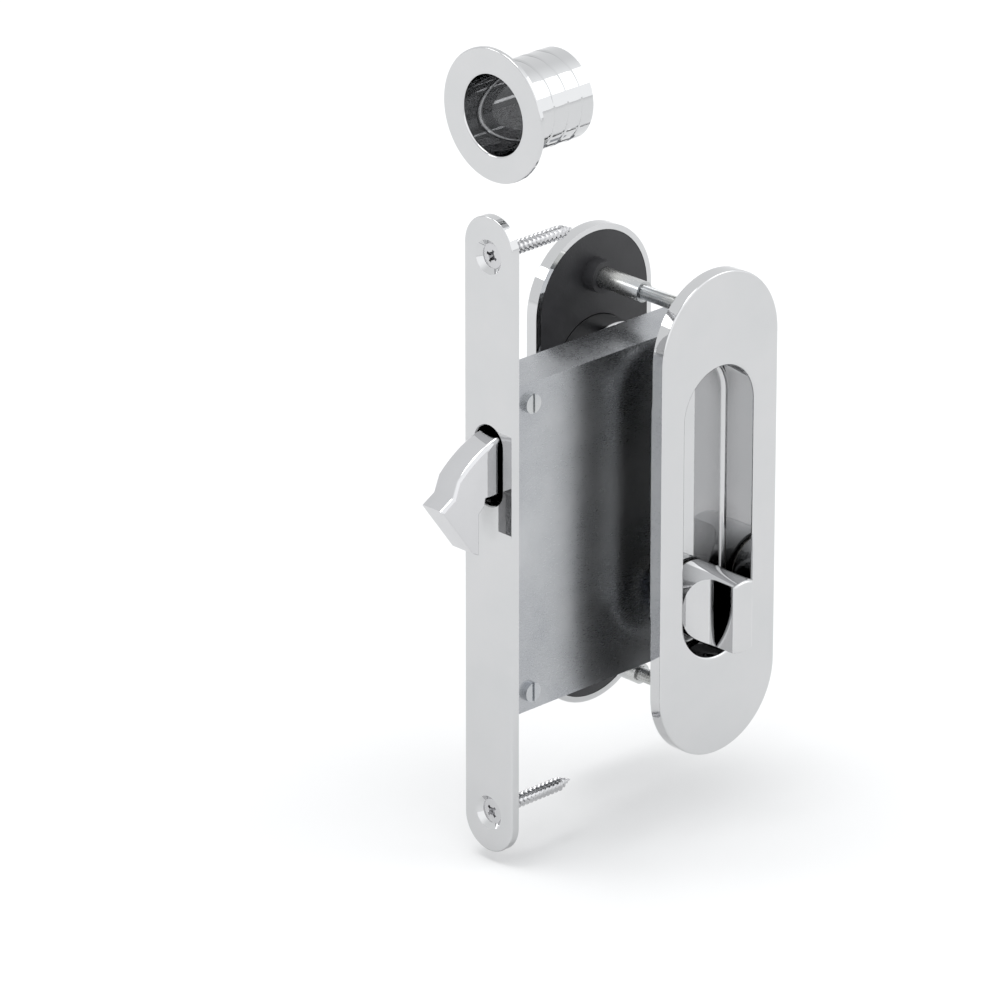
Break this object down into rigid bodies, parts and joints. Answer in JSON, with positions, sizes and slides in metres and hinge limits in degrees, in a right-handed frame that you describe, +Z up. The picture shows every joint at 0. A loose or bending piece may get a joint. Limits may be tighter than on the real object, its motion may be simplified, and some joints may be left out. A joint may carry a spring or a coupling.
{
  "type": "sliding door hook lock set",
  "caption": "Privacy lock set for a sliding door: mortice hook lock with faceplate, round edge finger pull, and a flush pull on each face with thumbturn or coin release.",
  "frame": {"origin": "centre of the faceplate's back face, on the plane of the door's edge and in the middle of the door's thickness", "axes": "+X into the door from its edge, +Z up along the edge, -Y out of the door face with the thumbturn"},
  "size_m": [0.1028, 0.0614, 0.228],
  "materials": {
    "chrome_trim": "polished chrome plate",
    "hook_chrome": "polished chrome plate",
    "screw_chrome": "bright plated screw",
    "zinc_steel": "zinc-plated steel",
    "case_steel": "zinc-plated pressed steel",
    "sintered_steel": "sintered steel, oiled",
    "spring_steel": "blued spring steel",
    "brass_wear": "turned brass",
    "bush_nylon": "natural nylon",
    "frame_plastic": "black moulded nylon"
  },
  "bodies": {
    "lock_set": {"faceplate": "chrome_trim", "faceplate_screws": "screw_chrome", "faceplate_rivets": "zinc_steel", "finger_pull_cup": "chrome_trim", "front_pull_shell": "chrome_trim", "rear_pull_shell": "chrome_trim", "front_mounting_frame": "frame_plastic", "rear_mounting_frame": "frame_plastic", "through_bolts": "zinc_steel", "sleeve_nuts": "zinc_steel", "turn_bush": "bush_nylon", "release_bush": "bush_nylon", "case_body": "case_steel", "case_cover": "case_steel", "case_cover_screws": "zinc_steel", "hook_pivot_pin": "zinc_steel", "hook_spacers": "brass_wear", "guide_posts": "zinc_steel", "guide_collars": "zinc_steel", "detent_spring": "spring_steel", "detent_post": "zinc_steel"},
    "turn": {"thumbturn": "chrome_trim", "spindle": "zinc_steel", "follower": "sintered_steel", "turn_retaining_clip": "spring_steel", "release_button": "chrome_trim", "release_retaining_clip": "spring_steel"},
    "drive": {"drive_plate": "zinc_steel"},
    "hook": {"hook_bolt": "hook_chrome", "hook_bush": "brass_wear"}
  },
  "joints": [
    {"name": "turn_spin", "type": "hinge", "parent": "lock_set", "child": "turn", "pos_m": [0.0581, 0, -0.03], "axis": [0, -1, 0], "range_deg": [0, 90]},
    {"name": "drive_slide", "type": "slide", "parent": "lock_set", "child": "drive", "axis": [0, 0, -1], "range_m": [0, 0.011], "deforming": ["detent_spring"]},
    {"name": "hook_swing", "type": "hinge", "parent": "lock_set", "child": "hook", "pos_m": [0.006, 0, -0.002], "axis": [0, 1, 0], "range_deg": [0, 54.79]}
  ],
  "couplings": [
    {"joint": "drive_slide", "follows": "turn_spin", "m_per_rad": 0.007},
    {"joint": "hook_swing", "follows": "turn_spin", "ratio": 0.6087}
  ]
}
